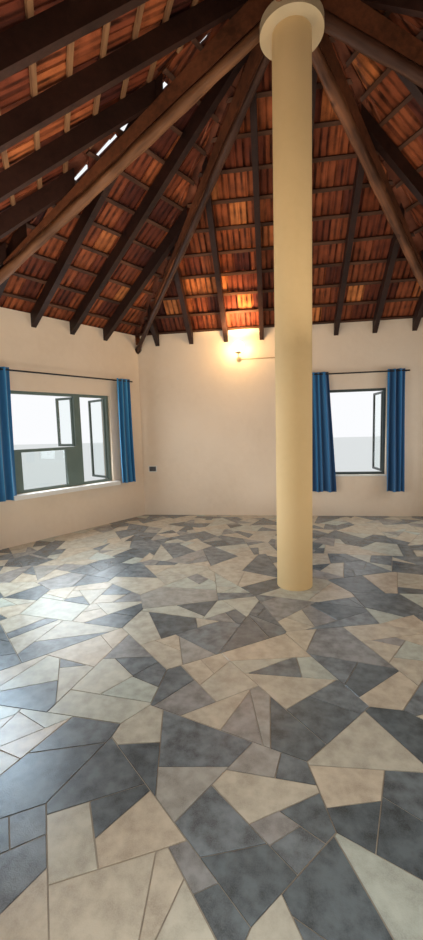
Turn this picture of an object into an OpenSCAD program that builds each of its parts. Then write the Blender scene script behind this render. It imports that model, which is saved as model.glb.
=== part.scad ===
// A six-sided hut of one room. Three wide and three narrow walls stand in turn on a low plinth, a round
// column stands in the middle, and six log poles run from its capital to the corners of the walls under a
// tiled pyramid roof. All heights below are measured from the finished floor unless they say otherwise.
// The origin is the column's axis at ground level. Azimuth 0 is +Y, the back wall, and grows towards +X.

/* [Plan] */
// Inner length of each of the three wide walls
wide_wall = 4960; // [4400:20:5600]
// Inner length of each of the three narrow walls
narrow_wall = 2800; // [2600:20:3200]
// Thickness of the walls
wall_t = 230; // [180:10:300]
// Height of the floor above the ground
floor_h = 300; // [200:10:450]
// How far the plinth stands out from the walls
plinth_out = 60; // [20:5:120]
// Thickness of the stone paving
paving_t = 30; // [20:1:50]

/* [Entrance step] */
// Length of the step in front of the door
step_len = 1300; // [1100:50:1800]
// Tread of the step
step_tread = 340; // [280:10:450]
// Height of the step
step_h = 150; // [100:5:180]

/* [Roof] */
// Height of the roof planes over the inner edge of the walls
eave_h = 3125; // [2950:25:3400]
// Height of the roof planes' common point
apex_h = 5530; // [5400:10:5700]
// How far the rafters of the wide sides reach out past the inner face of the wall
eave_out = 760; // [600:20:900]
// Width of a rafter
rafter_w = 70; // [50:5:90]
// Depth of a rafter, square to the slope
rafter_d = 150; // [110:5:160]
// Spacing of the rafters
rafter_gap = 590; // [500:10:700]
// Least distance from a wall's corner to the nearest rafter
rafter_edge = 300; // [250:10:400]
// How far the rafters of a wide side stand to one side of its middle
shift_wide = -60; // [-100:5:100]
// How far the rafters of a narrow side stand to one side of its middle
shift_narrow = -157; // [-160:1:100]
// Width of a hip board and of a hip tail
hip_w = 80; // [60:5:90]
// Depth of a hip tail, square to the hip
hip_d = 120; // [80:5:120]
// Width of a batten
batten_w = 45; // [30:1:60]
// Thickness of a batten
batten_t = 25; // [15:1:35]
// Spacing of the battens, which is also the height of a course of tiles
course = 320; // [260:10:360]
// Thickness of a tile at its head
tile_head = 18; // [12:1:24]
// Thickness of the covering at the lower edge of a course
tile_tail = 40; // [30:1:50]
// How far the last course hangs past the rafters' ends
tile_drip = 50; // [20:5:80]
// Outer radius of a hip tile
hip_tile_r = 115; // [100:5:140]
// Wall thickness of a hip tile
hip_tile_t = 18; // [12:1:24]

/* [Column and poles] */
// Diameter of the column
column_d = 330; // [280:10:400]
// Height of the underside of the capital
capital_h = 4760; // [4650:10:4800]
// Diameter of the capital
capital_d = 530; // [480:10:620]
// Thickness of the capital
capital_t = 80; // [60:5:100]
// Diameter of the post from the capital to the apex
post_d = 260; // [240:10:280]
// Diameter of a hip pole
pole_d = 120; // [100:5:120]
// Depth of the seat that is cut into a pole where it lies on the capital
pole_seat = 45; // [30:5:50]
// How far the axis of a pole lies under the roof planes at the corner of the walls
pole_drop = 240; // [240:5:280]
// How deep a pole's foot is built into the corner
pole_foot = 150; // [100:10:180]

/* [Windows] */
// Height of the underside of the window frames
sill_h = 690; // [600:10:800]
// Height of the top of the window frames
head_h = 2080; // [1950:10:2150]
// Width of the windows in the wide walls
wide_win_w = 1010; // [900:10:1200]
// Place of the windows of the wide walls, to one side of the middle
wide_win_u = 1105; // [1000:5:1200]
// Width of the windows in the narrow walls
narrow_win_w = 1650; // [1600:10:1800]
// Place of the windows of the narrow walls, to one side of the middle
narrow_win_u = -75; // [-100:5:100]
// Width of the frame bars
bar_w = 40; // [30:1:50]
// Depth of the frame bars
bar_d = 50; // [40:1:60]
// Width of the bars of an opening sash
sash_w = 34; // [26:1:40]
// Depth of the bars of an opening sash
sash_d = 32; // [26:1:40]
// Distance from the wall's inner face to the frame
frame_in = 45; // [30:5:80]
// Thickness of the glass
glass_t = 5; // [4:1:8]
// Angle at which the sashes of the wide walls' windows stand open
pair_open = 87; // [60:1:90]
// Angle at which the tall sashes of the narrow walls' windows stand open
tall_open = 95; // [60:1:95]
// Angle at which the small sashes stand open
small_open = 78; // [60:1:85]
// Thickness of the sills of the narrow walls' windows
sill_t = 60; // [40:1:70]
// How far those sills stand out into the room
sill_out = 120; // [80:5:130]

/* [Curtains] */
// Height of the curtain rods
rod_h = 2325; // [2250:5:2400]
// Diameter of the curtain rods
rod_d = 22; // [16:1:28]
// Distance from the wall's inner face to the rod's axis
rod_out = 90; // [80:5:110]
// How far a rod reaches past a wide wall's window on either side
rod_past = 312; // [300:2:340]
// How far a rod reaches past a narrow wall's window on either side
narrow_rod_past = 415; // [405:1:430]
// Width of a gathered curtain
curtain_w = 265; // [240:5:280]
// Width of the back window's left curtain, which is drawn a little further
drawn_curtain_w = 400; // [300:10:480]
// Depth of the curtains' folds
curtain_d = 84; // [60:2:90]
// Height of the lower hem of the wide walls' curtains
curtain_hem = 420; // [300:20:600]
// Height of the lower hem of the narrow walls' curtains
narrow_curtain_hem = 640; // [560:10:700]

/* [Door] */
// Width of the doorway
door_w = 1000; // [900:10:1100]
// Height of the doorway
door_h = 2120; // [2050:10:2200]
// Width of the door frame's bars
jamb_w = 60; // [50:5:80]
// Depth of the door frame
jamb_d = 110; // [90:5:140]
// Thickness of the door leaf
leaf_t = 42; // [36:1:50]
// Angle at which the leaf stands open
leaf_open = 105; // [90:1:115]

/* [Fittings] */
// Place of the wall lamp, to one side of the middle of the back wall
lamp_u = -734; // [-800:2:-600]
// Height of the lamp's wall plate
lamp_h = 2640; // [2500:10:2700]
// Diameter of the lamp's globe
globe_d = 200; // [150:5:240]
// Distance from the back left corner to the middle of the switch plate
switch_in = 180; // [130:5:280]
// Height of the switch plate
switch_h = 825; // [750:5:1300]

/* [Hidden] */
$fn = 64;

// The azimuths of the sides' outward normals and of the corners
BACK = 0; BACK_RIGHT = 60; FRONT_RIGHT = 120; FRONT = 180; FRONT_LEFT = -120; BACK_LEFT = -60;
SIDES = [BACK, BACK_RIGHT, FRONT_RIGHT, FRONT, FRONT_LEFT, BACK_LEFT];
WIDE_SIDES = [BACK, FRONT_RIGHT, FRONT_LEFT];
NARROW_WINDOW_SIDES = [BACK_RIGHT, BACK_LEFT];
WINDOW_SIDES = concat(WIDE_SIDES, NARROW_WINDOW_SIDES);
// Distance from the axis to each kind of wall, to the corners, and half the angle that a side takes up
wide_ap = (wide_wall + 2 * narrow_wall) / (2 * sqrt(3));
narrow_ap = (2 * wide_wall + narrow_wall) / (2 * sqrt(3));
corner_r = sqrt(pow(wide_ap, 2) + pow(wide_wall / 2, 2));
wide_half = atan(wide_wall / 2 / wide_ap);
narrow_half = atan(narrow_wall / 2 / narrow_ap);
CORNERS = [wide_half, 120 - wide_half, 120 + wide_half, -120 - wide_half, -120 + wide_half, -wide_half];
mitre = tan(30);

// Heights above the ground, and the slopes of the roof
plinth_z = floor_h - paving_t;
eave_z = floor_h + eave_h;
apex_z = floor_h + apex_h;
rise = apex_h - eave_h;
wide_slope = atan(rise / wide_ap);
narrow_slope = atan(rise / narrow_ap);
hip_slope = atan(rise / corner_r);
eave_ratio = 1 + eave_out / wide_ap;
reach = 2 * corner_r;
cover_n = batten_t + tile_tail;

// Column and poles
capital_z = floor_h + capital_h;
capital_top = capital_z + capital_t;
pole_slope = atan((capital_top + pole_d / 2 - pole_seat + 8 - eave_z + pole_drop) / (corner_r - capital_d / 2));
pole_start = capital_d / 2 - 65;
hip_drop = 20;
joint_gap = 4;
board_drop = rafter_d / cos(wide_slope) + 2
    + hip_w / 2 * sqrt(pow(tan(wide_slope), 2) - pow(tan(hip_slope), 2));

// Windows and door
sill_z = floor_h + sill_h;
head_z = floor_h + head_h;
win_h = head_h - sill_h;
hinge_d = 16;
slim_sill_t = 25;
slim_sill_out = 20;
sill_past = 45;
mullion_w = 105;
mullion_u = 225;
transom_h = 560;
stile_w = 170;
broad_stile_w = 175;

function is_wide(side) = len(search(side, WIDE_SIDES)) > 0;
function wall_len(side) = is_wide(side) ? wide_wall : narrow_wall;
function apothem(side) = is_wide(side) ? wide_ap : narrow_ap;
function slope(side) = is_wide(side) ? wide_slope : narrow_slope;
function shift(side) = is_wide(side) ? shift_wide : shift_narrow;
function half_tan(side) = wall_len(side) / 2 / apothem(side);
function rafter_count(side) = floor((wall_len(side) - 2 * rafter_edge) / rafter_gap) + 1;
function rafter_u(side, i) = (i - (rafter_count(side) - 1) / 2) * rafter_gap + shift(side);
function slope_len(side) = apothem(side) * eave_ratio / cos(slope(side));
function hexagon(out) = [for (side = SIDES) let (a = apothem(side) + out,
    half = wall_len(side) / 2 + out * mitre) each [
        [a * sin(side) - half * cos(side), a * cos(side) + half * sin(side)],
        [a * sin(side) + half * cos(side), a * cos(side) - half * sin(side)]]];

// Turns a piece that is drawn for the back wall to another side
module on(side) {
    rotate([0, 0, -side]) children();
}

// Tips a piece that is drawn flat, with its Y axis down the slope, into the roof plane of a side
module on_slope(side) {
    on(side) translate([0, 0, apex_z]) rotate([-slope(side), 0, 0]) children();
}

// The same along a hip, whose corner lies at an azimuth
module on_hip(corner) {
    rotate([0, 0, -corner]) translate([0, 0, apex_z]) rotate([-hip_slope, 0, 0]) children();
}

// Extrudes a profile, drawn with Y across the wall and Z up, along the wall from one place to another
module along(from, to) {
    translate([from, 0, 0]) rotate([90, 0, 90]) linear_extrude(to - from) children();
}

// All that is above a side's roof plane
module above_roof(side) {
    on_slope(side) translate([-reach, -reach / 2, 0]) cube([2 * reach, 2 * reach, reach]);
}

// The bars of one side's rafters, from a place on the slope to the eave
module rafter_bars(side) {
    on_slope(side)
        for (i = [0:rafter_count(side) - 1])
            translate([rafter_u(side, i) - rafter_w / 2, rafter_w, -rafter_d])
                cube([rafter_w, slope_len(side) - rafter_w, rafter_d]);
}

// The hip's timber over the corner of the walls and out to the eave, a little under the roof planes
module hip_tail(corner) {
    on_hip(corner) translate([-hip_w / 2, corner_r / cos(hip_slope), -hip_drop - hip_d])
        cube([hip_w, corner_r * (eave_ratio - 1) / cos(hip_slope), hip_d]);
}

// A log, whose axis runs from over the capital's rim to the corner of the walls
module pole_log(corner) {
    rotate([0, 0, -corner]) translate([0, corner_r, eave_z - pole_drop]) rotate([-90 - pole_slope, 0, 0])
        translate([0, 0, -(corner_r - pole_start) / cos(pole_slope)])
            cylinder(d = pole_d, h = (corner_r - pole_start + pole_foot) / cos(pole_slope));
}

// A board that stands on a pole, scribed to it. The rafters of the wide sides lie on its top.
module hip_board(corner) {
    far = 0.8 * corner_r;
    top = apex_z - board_drop;
    foot = eave_z - pole_drop;
    difference() {
        rotate([0, 0, -corner]) along(-hip_w / 2, hip_w / 2)
            polygon([[0, top], [far, top - far * tan(hip_slope)],
                [far, foot + (corner_r - far) * tan(pole_slope)], [0, foot + corner_r * tan(pole_slope)]]);
        pole_log(corner);
    }
}

// What is cut out of the head of a wall for the timbers that it carries. Their slots are open at the top.
module timber_pockets(side) {
    for (up = [0, rafter_d / 2]) translate([0, 0, up]) rafter_bars(side);
    for (c = CORNERS) {
        for (up = [0, hip_d / 2]) translate([0, 0, up]) hip_tail(c);
        pole_log(c);
    }
}

// A wall up to the roof planes, with pockets for its timbers. The doorway splits the front one.
module wall_body(side) {
    a = apothem(side);
    half = wall_len(side) / 2;
    difference() {
        on(side) translate([0, 0, plinth_z]) linear_extrude(apex_h)
            polygon([[-half, a], [half, a], [half + wall_t * mitre, a + wall_t],
                [-half - wall_t * mitre, a + wall_t]]);
        for (other = SIDES) if (cos(other - side) > 0) above_roof(other);
        timber_pockets(side);
    }
}

module window_hole(side, u, w) {
    on(side) translate([u - w / 2, apothem(side) - 1, sill_z]) cube([w, wall_t + 2, win_h]);
}

module plain_wall(side) {
    color("wheat") difference() {
        wall_body(side);
        if (is_wide(side)) window_hole(side, wide_win_u, wide_win_w);
        else window_hole(side, narrow_win_u, narrow_win_w);
    }
}

module wall_back() plain_wall(BACK);
module wall_back_left() plain_wall(BACK_LEFT);
module wall_back_right() plain_wall(BACK_RIGHT);
module wall_front_left() plain_wall(FRONT_LEFT);
module wall_front_right() plain_wall(FRONT_RIGHT);

// The front wall's stretch between two places along it and two heights
module front_part(from, to, low, high) {
    color("wheat") intersection() {
        wall_body(FRONT);
        on(FRONT) translate([from, narrow_ap - 10, low]) cube([to - from, wall_t + 20, high - low]);
    }
}

// Left and right are as seen from the room, looking out
module door_pier_left() front_part(-narrow_wall, -door_w / 2, plinth_z, apex_z);
module door_pier_right() front_part(door_w / 2, narrow_wall, plinth_z, apex_z);
module wall_over_door() front_part(-door_w / 2, door_w / 2, floor_h + door_h, apex_z);

module plinth() {
    color("darkgray") {
        linear_extrude(plinth_z) polygon(hexagon(wall_t + plinth_out));
        on(FRONT) translate([-step_len / 2, narrow_ap + wall_t, 0])
            cube([step_len, plinth_out + step_tread, step_h]);
    }
}

module floor_paving() {
    color("slategray") translate([0, 0, plinth_z]) difference() {
        union() {
            linear_extrude(paving_t) polygon(hexagon(0));
            on(FRONT) translate([-door_w / 2, narrow_ap - wall_t, 0]) cube([door_w, 2 * wall_t, paving_t]);
        }
        translate([0, 0, -1]) cylinder(d = column_d, h = paving_t + 2);
    }
}

module column_shaft() {
    color("navajowhite") translate([0, 0, plinth_z]) cylinder(d = column_d, h = capital_z - plinth_z);
}

module column_capital() {
    color("antiquewhite") translate([0, 0, capital_z]) cylinder(d = capital_d, h = capital_t);
}

module apex_post() {
    color("saddlebrown") translate([0, 0, capital_top])
        cylinder(d = post_d, h = apex_z - post_d / 2 * tan(wide_slope) - capital_top);
}

// A pole with its seat on the capital
module hip_pole(corner) {
    color("peru") difference() {
        pole_log(corner);
        translate([0, 0, capital_top - pole_d]) cylinder(d = capital_d, h = pole_d);
    }
}

module hip_pole_back_right() hip_pole(CORNERS[0]);
module hip_pole_right() hip_pole(CORNERS[1]);
module hip_pole_front_right() hip_pole(CORNERS[2]);
module hip_pole_front_left() hip_pole(CORNERS[3]);
module hip_pole_left() hip_pole(CORNERS[4]);
module hip_pole_back_left() hip_pole(CORNERS[5]);

module hip_rafters() {
    color("sienna") {
        difference() {
            for (c = CORNERS) hip_board(c);
            translate([0, 0, capital_top]) cylinder(d = post_d, h = apex_h);
        }
        for (c = CORNERS) hip_tail(c);
    }
}

// A side's rafters, cut off upright just short of the hips
module rafters(side) {
    back_off = joint_gap / sin(atan(half_tan(side)));
    far = apothem(side) * eave_ratio + 2 * rafter_w;
    color("sienna") intersection() {
        rafter_bars(side);
        on(side) linear_extrude(apex_z)
            polygon([[0, back_off], [(far - back_off) * half_tan(side), far],
                [(back_off - far) * half_tan(side), far]]);
    }
}

module rafters_back() rafters(BACK);
module rafters_back_left() rafters(BACK_LEFT);
module rafters_back_right() rafters(BACK_RIGHT);
module rafters_front_left() rafters(FRONT_LEFT);
module rafters_front_right() rafters(FRONT_RIGHT);
module rafters_front() rafters(FRONT);

// Half the width of a side's roof at a distance down the slope
function half_at(side, s) = s * cos(slope(side)) * half_tan(side) - joint_gap;

module side_battens(side) {
    first = slope_len(side) - course * floor((slope_len(side) - course) / course) - batten_w;
    on_slope(side)
        for (s = [first:course:slope_len(side)])
            linear_extrude(batten_t)
                polygon([[-half_at(side, s), s], [half_at(side, s), s],
                    [half_at(side, s + batten_w), s + batten_w], [-half_at(side, s + batten_w), s + batten_w]]);
}

module battens() {
    color("burlywood") for (side = SIDES) side_battens(side);
}

// The covering of one side in courses, each of which steps down to the one below it
module tiles(side) {
    end = slope_len(side) + tile_drip;
    count = floor(end / course);
    start = end - count * course;
    steps = [for (i = [0:count - 1]) each [[start + i * course, tile_head], [start + (i + 1) * course, tile_tail]]];
    color("indianred") on_slope(side) translate([0, 0, batten_t]) intersection() {
        along(-reach, reach) polygon(concat([[start, 0]], steps, [[end, 0]]));
        translate([0, 0, -1]) linear_extrude(2 * tile_tail)
            polygon([[0, joint_gap / half_tan(side)], [half_at(side, reach), reach],
                [-half_at(side, reach), reach]]);
    }
}

module tiles_back() tiles(BACK);
module tiles_back_left() tiles(BACK_LEFT);
module tiles_back_right() tiles(BACK_RIGHT);
module tiles_front_left() tiles(FRONT_LEFT);
module tiles_front_right() tiles(FRONT_RIGHT);
module tiles_front() tiles(FRONT);

// Angle at which a side's plane falls away from the hip, seen along the hip
function fall(side) = acos(sin(slope(side)) * cos(atan(half_tan(side))) * sin(hip_slope)
    + cos(slope(side)) * cos(hip_slope));
wide_fall = fall(BACK);
narrow_fall = fall(FRONT);
hip_tile_start = hip_tile_r * 2.1 / sin(narrow_half) / 2 / cos(hip_slope);
hip_tile_axis = cover_n - 30;

// A half-round tube along a hip, whose lips lie on the two coverings
module hip_tile(corner, wide_on_right) {
    end = (corner_r * eave_ratio + tile_drip) / cos(hip_slope);
    on_hip(corner) translate([0, end, 0]) rotate([90, 0, 0]) linear_extrude(end - hip_tile_start)
        mirror([wide_on_right ? 0 : 1, 0]) difference() {
            translate([0, hip_tile_axis]) circle(r = hip_tile_r);
            translate([0, hip_tile_axis]) circle(r = hip_tile_r - hip_tile_t);
            translate([0, cover_n / cos(wide_fall)]) rotate(-wide_fall)
                translate([0, -2 * hip_tile_r]) square([3 * hip_tile_r, 2 * hip_tile_r]);
            translate([0, cover_n / cos(narrow_fall)]) rotate(narrow_fall)
                translate([-3 * hip_tile_r, -2 * hip_tile_r]) square([3 * hip_tile_r, 2 * hip_tile_r]);
        }
}

module hip_tiles() {
    color("firebrick") for (i = [0:5]) hip_tile(CORNERS[i], i % 2 == 1);
}

// A cast cap, whose hollow underside lies on the tops of the six hip tiles
module apex_cap() {
    cap_lap = 160;
    cap_r = hip_tile_start * cos(hip_slope) + cap_lap;
    crown = (hip_tile_axis + hip_tile_r) / cos(hip_slope);
    drop = cap_r * tan(hip_slope);
    color("rosybrown") translate([0, 0, apex_z + crown]) rotate_extrude()
        polygon([[0, 0], [cap_r, -drop], [cap_r, 45 - drop], [130, 60 - 130 * tan(hip_slope)],
            [70, 95], [0, 110]]);
}

// An upright frame of bars, drawn from its lower left corner in the plane of the wall
module bar_frame(w, h, bar, depth) {
    difference() {
        cube([w, depth, h]);
        translate([bar, -1, bar]) cube([w - 2 * bar, depth + 2, h - 2 * bar]);
    }
}

// A sash that stands open on two hinge barrels. It is hinged at its own left edge, or at its right one.
module open_sash(w, h, open, right_hinged) {
    mirror([right_hinged ? 1 : 0, 0, 0]) {
        rotate([0, 0, open]) translate([0, -sash_d, 0]) bar_frame(w, h, sash_w, sash_d);
        for (z = [0.15 * h, 0.85 * h]) translate([0, 0, z - 40]) cylinder(d = hinge_d, h = 80);
    }
}

module sash_pane(w, h, open, right_hinged) {
    mirror([right_hinged ? 1 : 0, 0, 0]) rotate([0, 0, open])
        translate([sash_w, -(sash_d + glass_t) / 2, sash_w]) cube([w - 2 * sash_w, glass_t, h - 2 * sash_w]);
}

// Places a piece in the plane of a window's frame, from the lower left corner of its opening
module in_window(side) {
    w = is_wide(side) ? wide_win_w : narrow_win_w;
    u = is_wide(side) ? wide_win_u : narrow_win_u;
    on(side) translate([u - w / 2, apothem(side) + frame_in, sill_z]) children();
}

// Places a sash's hinge just outside the frame
module at_hinge(x, z) {
    translate([x, bar_d + hinge_d / 4, z]) children();
}

// The windows of the wide walls are a pair of casements
pair_sash_w = wide_win_w / 2 - bar_w - 4;
pair_sash_h = win_h - 2 * bar_w - 8;

module pair_window(side) {
    color("darkslategray") in_window(side) {
        bar_frame(wide_win_w, win_h, bar_w, bar_d);
        at_hinge(bar_w / 2, bar_w + 4) open_sash(pair_sash_w, pair_sash_h, pair_open, false);
        at_hinge(wide_win_w - bar_w / 2, bar_w + 4) open_sash(pair_sash_w, pair_sash_h, pair_open, true);
    }
}

// The windows of the narrow walls have a broad mullion, a fixed light with a small sash over it on the
// left, and a full sash on the right
mull_x = narrow_win_w / 2 - narrow_win_u + mullion_u - mullion_w;
right_sash_w = narrow_win_w - mull_x - mullion_w - bar_w - 4;
small_sash_w = 330;
small_sash_h = win_h - transom_h - 2 * bar_w - 8;

module triple_window(side) {
    color("darkslategray") in_window(side) {
        bar_frame(narrow_win_w, win_h, bar_w, bar_d);
        translate([mull_x, 0, bar_w]) cube([mullion_w, bar_d, win_h - 2 * bar_w]);
        translate([bar_w, 0, transom_h]) cube([mull_x - bar_w, bar_d, bar_w]);
        translate([bar_w, 0, bar_w]) cube([stile_w - bar_w, bar_d, transom_h - bar_w]);
        translate([mull_x - broad_stile_w, 0, bar_w]) cube([broad_stile_w, bar_d, transom_h - bar_w]);
        at_hinge(narrow_win_w - bar_w / 2, bar_w + 4) open_sash(right_sash_w, pair_sash_h, tall_open, true);
        at_hinge(mull_x + bar_w / 2, transom_h + bar_w + 4)
            open_sash(small_sash_w, small_sash_h, small_open, true);
    }
}

module window_back() pair_window(BACK);
module window_back_left() triple_window(BACK_LEFT);
module window_back_right() triple_window(BACK_RIGHT);
module window_front_left() pair_window(FRONT_LEFT);
module window_front_right() pair_window(FRONT_RIGHT);

module window_panes() {
    color("lightcyan") {
        for (side = WIDE_SIDES) in_window(side) {
            at_hinge(bar_w / 2, bar_w + 4) sash_pane(pair_sash_w, pair_sash_h, pair_open, false);
            at_hinge(wide_win_w - bar_w / 2, bar_w + 4) sash_pane(pair_sash_w, pair_sash_h, pair_open, true);
        }
        for (side = NARROW_WINDOW_SIDES) in_window(side) {
            translate([stile_w, (bar_d - glass_t) / 2, bar_w])
                cube([mull_x - broad_stile_w - stile_w, glass_t, transom_h - bar_w]);
            at_hinge(narrow_win_w - bar_w / 2, bar_w + 4) sash_pane(right_sash_w, pair_sash_h, tall_open, true);
            at_hinge(mull_x + bar_w / 2, transom_h + bar_w + 4)
                sash_pane(small_sash_w, small_sash_h, small_open, true);
        }
    }
}

// A ledge against the wall's inner face, right under its window's frame
module sill(side, w, thick, out) {
    in_window(side) translate([-sill_past, -frame_in - out, -thick]) cube([w + 2 * sill_past, out, thick]);
}

module window_sills() {
    color("whitesmoke") {
        for (side = WIDE_SIDES) sill(side, wide_win_w, slim_sill_t, slim_sill_out);
        for (side = NARROW_WINDOW_SIDES) sill(side, narrow_win_w, sill_t, sill_out);
    }
}

// Half the length of a side's rod, and the place of its middle along the wall
function rod_half(side) = is_wide(side) ? wide_win_w / 2 + rod_past : narrow_win_w / 2 + narrow_rod_past;
function rod_mid(side) = is_wide(side) ? wide_win_u : narrow_win_u;

module rod(side) {
    on(side) {
        translate([rod_mid(side), apothem(side) - rod_out, floor_h + rod_h]) rotate([0, 90, 0])
            cylinder(d = rod_d, h = 2 * rod_half(side), center = true);
        for (end = [-1, 1])
            translate([rod_mid(side) + end * (rod_half(side) - 30), apothem(side) - rod_out, floor_h + rod_h])
                rotate([-90, 0, 0]) cylinder(d = rod_d * 0.7, h = rod_out);
    }
}

module curtain_rods() {
    color("black") for (side = WINDOW_SIDES) rod(side);
}

// A gathered curtain at each end of a rod, as a plain closed solid just under the rod
module curtain(side, end, w) {
    hem = is_wide(side) ? curtain_hem : narrow_curtain_hem;
    on(side) translate([rod_mid(side) + end * (rod_half(side) - 65 - w / 2) - w / 2,
        apothem(side) - rod_out - curtain_d / 2, floor_h + hem])
        cube([w, curtain_d, rod_h - rod_d / 2 - hem]);
}

module curtains() {
    color("steelblue") for (side = WINDOW_SIDES) {
        curtain(side, -1, side == BACK ? drawn_curtain_w : curtain_w);
        curtain(side, 1, curtain_w);
    }
}

module door_frame() {
    color("saddlebrown") on(FRONT)
        translate([-door_w / 2, narrow_ap + wall_t / 2 - jamb_d / 2, floor_h]) difference() {
            cube([door_w, jamb_d, door_h]);
            translate([jamb_w, -1, -1]) cube([door_w - 2 * jamb_w, jamb_d + 2, door_h - jamb_w + 1]);
        }
}

// A ledged leaf of planks that stands open into the room, on two hinge barrels at its jamb
module door_leaf() {
    leaf_w = door_w - 2 * jamb_w - 8;
    leaf_h = door_h - jamb_w - 14;
    barrel_d = 24;
    color("sienna") on(FRONT)
        translate([-door_w / 2 + jamb_w + 2, narrow_ap + wall_t / 2 - jamb_d / 2 - barrel_d / 2, floor_h + 8]) {
            rotate([0, 0, -leaf_open]) {
                cube([leaf_w, leaf_t, leaf_h]);
                for (z = [0.12, 0.5, 0.88]) translate([60, leaf_t, z * leaf_h - 60])
                    cube([leaf_w - 120, 26, 120]);
            }
            for (z = [0.15, 0.85]) translate([0, 0, z * leaf_h - 50]) cylinder(d = barrel_d, h = 100);
        }
}

// The wall lamp with its conduit, and the switch plate beside the back left corner
module wall_fittings() {
    plate_t = 18;
    arm_d = 16;
    arm_out = 130;
    conduit_d = 14;
    conduit_len = 880;
    junction_w = 70;
    junction_t = 30;
    switch_w = 150;
    switch_t = 14;
    switch_tall = 110;
    globe_z = floor_h + lamp_h + globe_d / 2 + 85;
    color("ivory") on(BACK) translate([0, wide_ap, 0]) {
        translate([lamp_u, 0, floor_h + lamp_h]) rotate([90, 0, 0]) cylinder(d = 90, h = plate_t);
        translate([lamp_u, 0, floor_h + lamp_h]) rotate([90, 0, 0]) cylinder(d = arm_d, h = arm_out + arm_d / 2);
        translate([lamp_u, -arm_out, floor_h + lamp_h]) cylinder(d = arm_d, h = 100);
        translate([lamp_u, -arm_out, globe_z - globe_d / 2 - 10]) cylinder(d = 60, h = 20);
        translate([lamp_u, -arm_out, globe_z]) sphere(d = globe_d);
        translate([lamp_u, -conduit_d / 2, floor_h + lamp_h]) rotate([0, 90, 0])
            cylinder(d = conduit_d, h = conduit_len);
        translate([lamp_u + conduit_len - 10, -junction_t, floor_h + lamp_h - junction_w / 2])
            cube([junction_w, junction_t, junction_w]);
        translate([switch_in - (wide_wall + switch_w) / 2, -switch_t, floor_h + switch_h - switch_tall / 2])
            cube([switch_w, switch_t, switch_tall]);
    }
}

plinth();
floor_paving();
wall_back();
wall_back_left();
wall_back_right();
wall_front_left();
wall_front_right();
door_pier_left();
door_pier_right();
wall_over_door();
column_shaft();
column_capital();
apex_post();
hip_pole_back_left();
hip_pole_back_right();
hip_pole_left();
hip_pole_right();
hip_pole_front_left();
hip_pole_front_right();
hip_rafters();
rafters_back();
rafters_back_left();
rafters_back_right();
rafters_front_left();
rafters_front_right();
rafters_front();
battens();
tiles_back();
tiles_back_left();
tiles_back_right();
tiles_front_left();
tiles_front_right();
tiles_front();
hip_tiles();
apex_cap();
window_back();
window_back_left();
window_back_right();
window_front_left();
window_front_right();
window_panes();
window_sills();
curtain_rods();
curtains();
door_frame();
door_leaf();
wall_fittings();
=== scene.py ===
"""Looks for the six-sided tiled hut. Everything is in metres, in the part's own frame."""
import math

import bpy
import numpy as np
from mathutils import Matrix


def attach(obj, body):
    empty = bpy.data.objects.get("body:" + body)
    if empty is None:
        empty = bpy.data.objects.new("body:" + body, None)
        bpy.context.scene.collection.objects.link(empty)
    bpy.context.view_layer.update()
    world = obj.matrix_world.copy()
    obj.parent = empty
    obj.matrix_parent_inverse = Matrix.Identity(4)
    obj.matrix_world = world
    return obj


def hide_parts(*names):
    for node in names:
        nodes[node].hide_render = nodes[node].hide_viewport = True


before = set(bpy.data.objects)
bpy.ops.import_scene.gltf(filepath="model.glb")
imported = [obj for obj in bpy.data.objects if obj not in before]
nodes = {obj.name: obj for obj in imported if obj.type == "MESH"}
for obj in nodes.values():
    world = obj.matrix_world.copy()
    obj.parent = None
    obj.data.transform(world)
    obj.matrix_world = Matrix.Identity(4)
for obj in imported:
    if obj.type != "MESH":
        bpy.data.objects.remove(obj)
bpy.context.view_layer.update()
draw = np.random.default_rng(11)

# The plan, the roof, the plinth and the openings, as the part has them. AP is a wall's distance from the
# axis, and EAVE_RATIO says how many times as far the roof reaches, on every side alike.
WIDE_WALL, NARROW_WALL, WALL_T = 4.96, 2.80, 0.23
WIDE_AP = (WIDE_WALL + 2 * NARROW_WALL) / (2 * math.sqrt(3))
NARROW_AP = (2 * WIDE_WALL + NARROW_WALL) / (2 * math.sqrt(3))
CORNER_R = math.hypot(WIDE_AP, WIDE_WALL / 2)
WIDE_HALF = math.degrees(math.atan(WIDE_WALL / 2 / WIDE_AP))
FLOOR_Z, EAVE_Z, APEX_Z = 0.30, 3.425, 5.83
RISE = APEX_Z - EAVE_Z
OVERHANG = 0.76
EAVE_RATIO = 1 + OVERHANG / WIDE_AP
BATTEN_W, BATTEN_T = 0.045, 0.025
COURSE, TILE_DRIP = 0.32, 0.05
CAPITAL_R, POLE_TOP_Z, POLE_DROP = 0.265, 5.163, 0.24
PLINTH_OUT, PLINTH_TOP, CORE_OUT = 0.06, 0.27, 0.048
STEP_HALF, STEP_OUT, STEP_TOP = 0.65, 0.40, 0.15
DOOR_HALF = 0.5
ROD_Z, ROD_OUT = FLOOR_Z + 2.325, 0.090
SIDES = {"back": 0, "back_right": 60, "front_right": 120, "front": 180, "front_left": -120, "back_left": -60}
WIDE_SIDES = ("back", "front_right", "front_left")
CORNERS = {"back_right": WIDE_HALF, "right": 120 - WIDE_HALF, "front_right": 120 + WIDE_HALF,
           "front_left": -120 - WIDE_HALF, "left": -120 + WIDE_HALF, "back_left": -WIDE_HALF}


def apothem(side):
    """Distance of a side's wall from the axis."""
    return WIDE_AP if side in WIDE_SIDES else NARROW_AP


def wall_length(side):
    """Inner length of a side's wall."""
    return WIDE_WALL if side in WIDE_SIDES else NARROW_WALL


def window_u(side):
    """Place of a side's window along its wall."""
    return 1.105 if side in WIDE_SIDES else -0.075


# ---- placing and building meshes ----

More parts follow.
